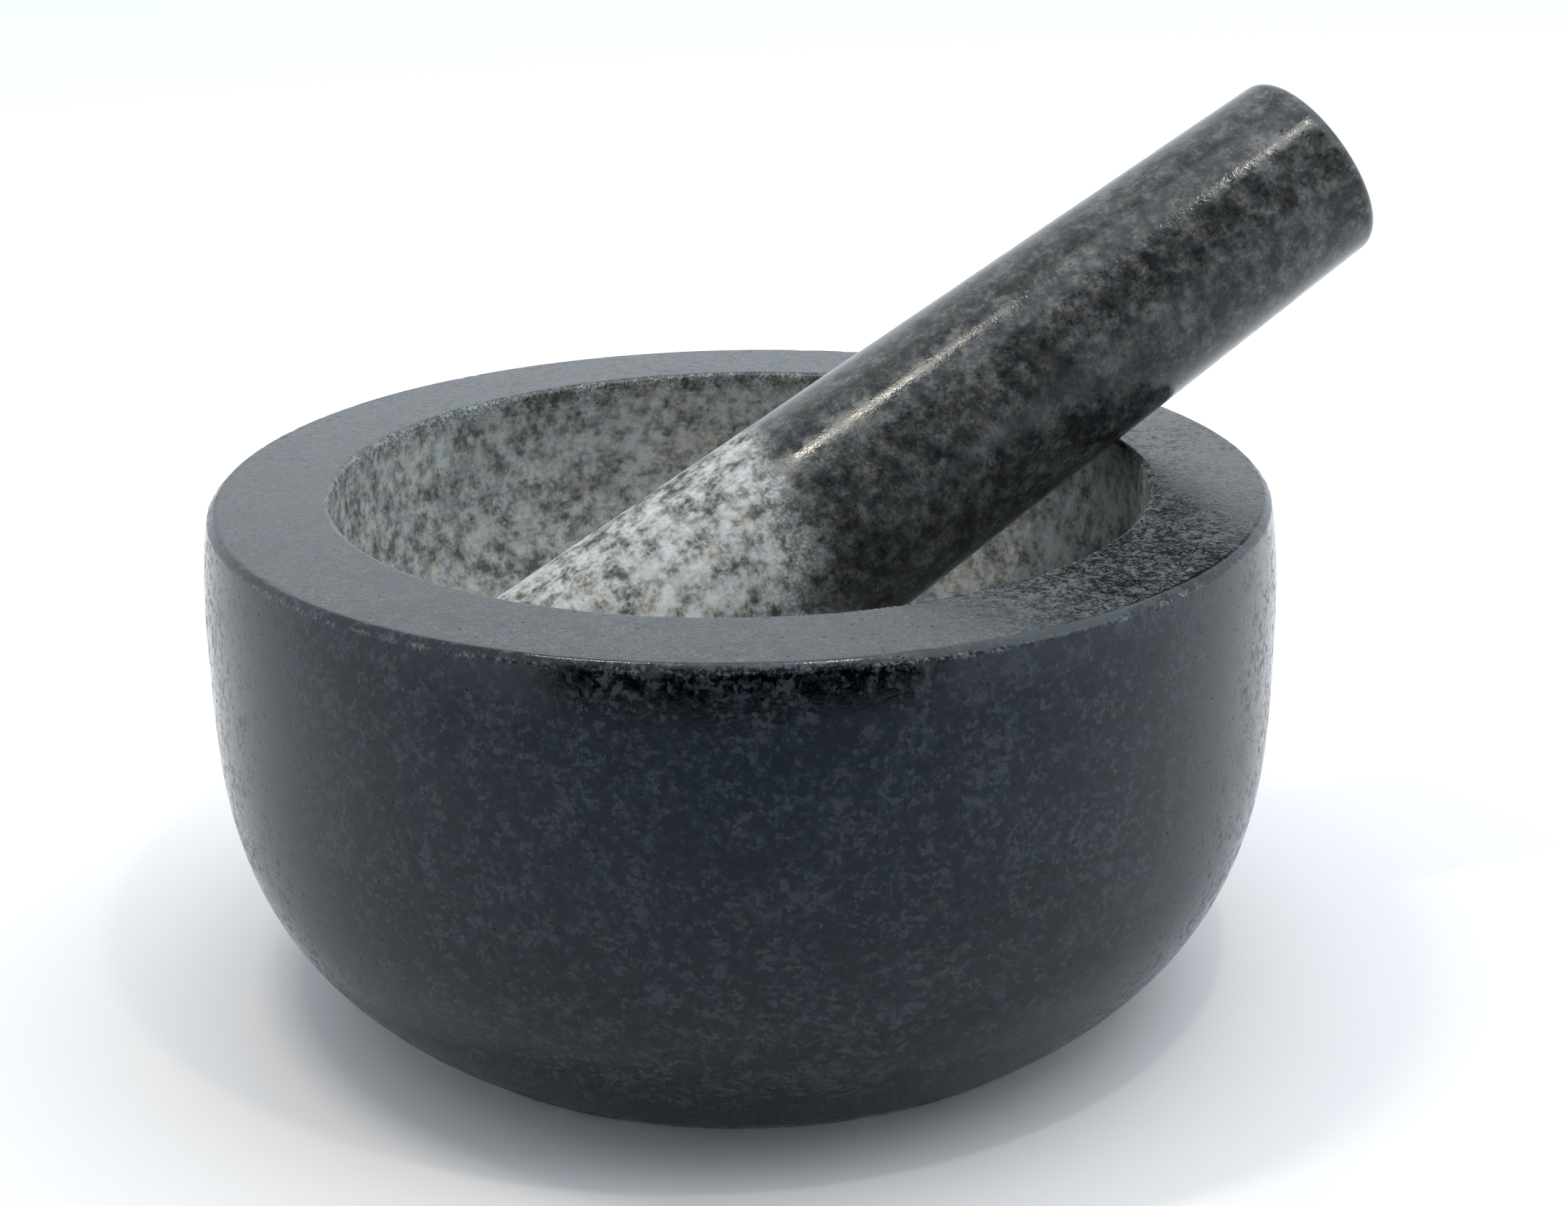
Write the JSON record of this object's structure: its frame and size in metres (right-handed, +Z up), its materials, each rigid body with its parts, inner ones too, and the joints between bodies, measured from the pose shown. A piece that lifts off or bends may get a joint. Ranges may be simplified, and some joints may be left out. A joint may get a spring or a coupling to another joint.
{
  "type": "mortar and pestle",
  "caption": "Squat turned granite mortar with a thick flat rim and polished outside, and a stout granite pestle leaning in its rough-ground bowl.",
  "frame": {"origin": "centre of the mortar's flat underside", "axes": "+Z up along the bowl's turning axis, +X towards the side of the rim that the pestle leans on, so the pestle's own axis lies in the XZ plane"},
  "size_m": [0.1865, 0.163, 0.1318],
  "materials": {
    "mortar_granite": "satin",
    "pestle_granite": "satin"
  },
  "bodies": {
    "mortar": {"mortar": "mortar_granite"},
    "pestle": {"pestle": "pestle_granite"}
  },
  "joints": [
    {"name": "pestle_lift", "type": "slide", "parent": "mortar", "child": "pestle", "axis": [0, 0, 1], "range_m": [0, 0.09]}
  ]
}
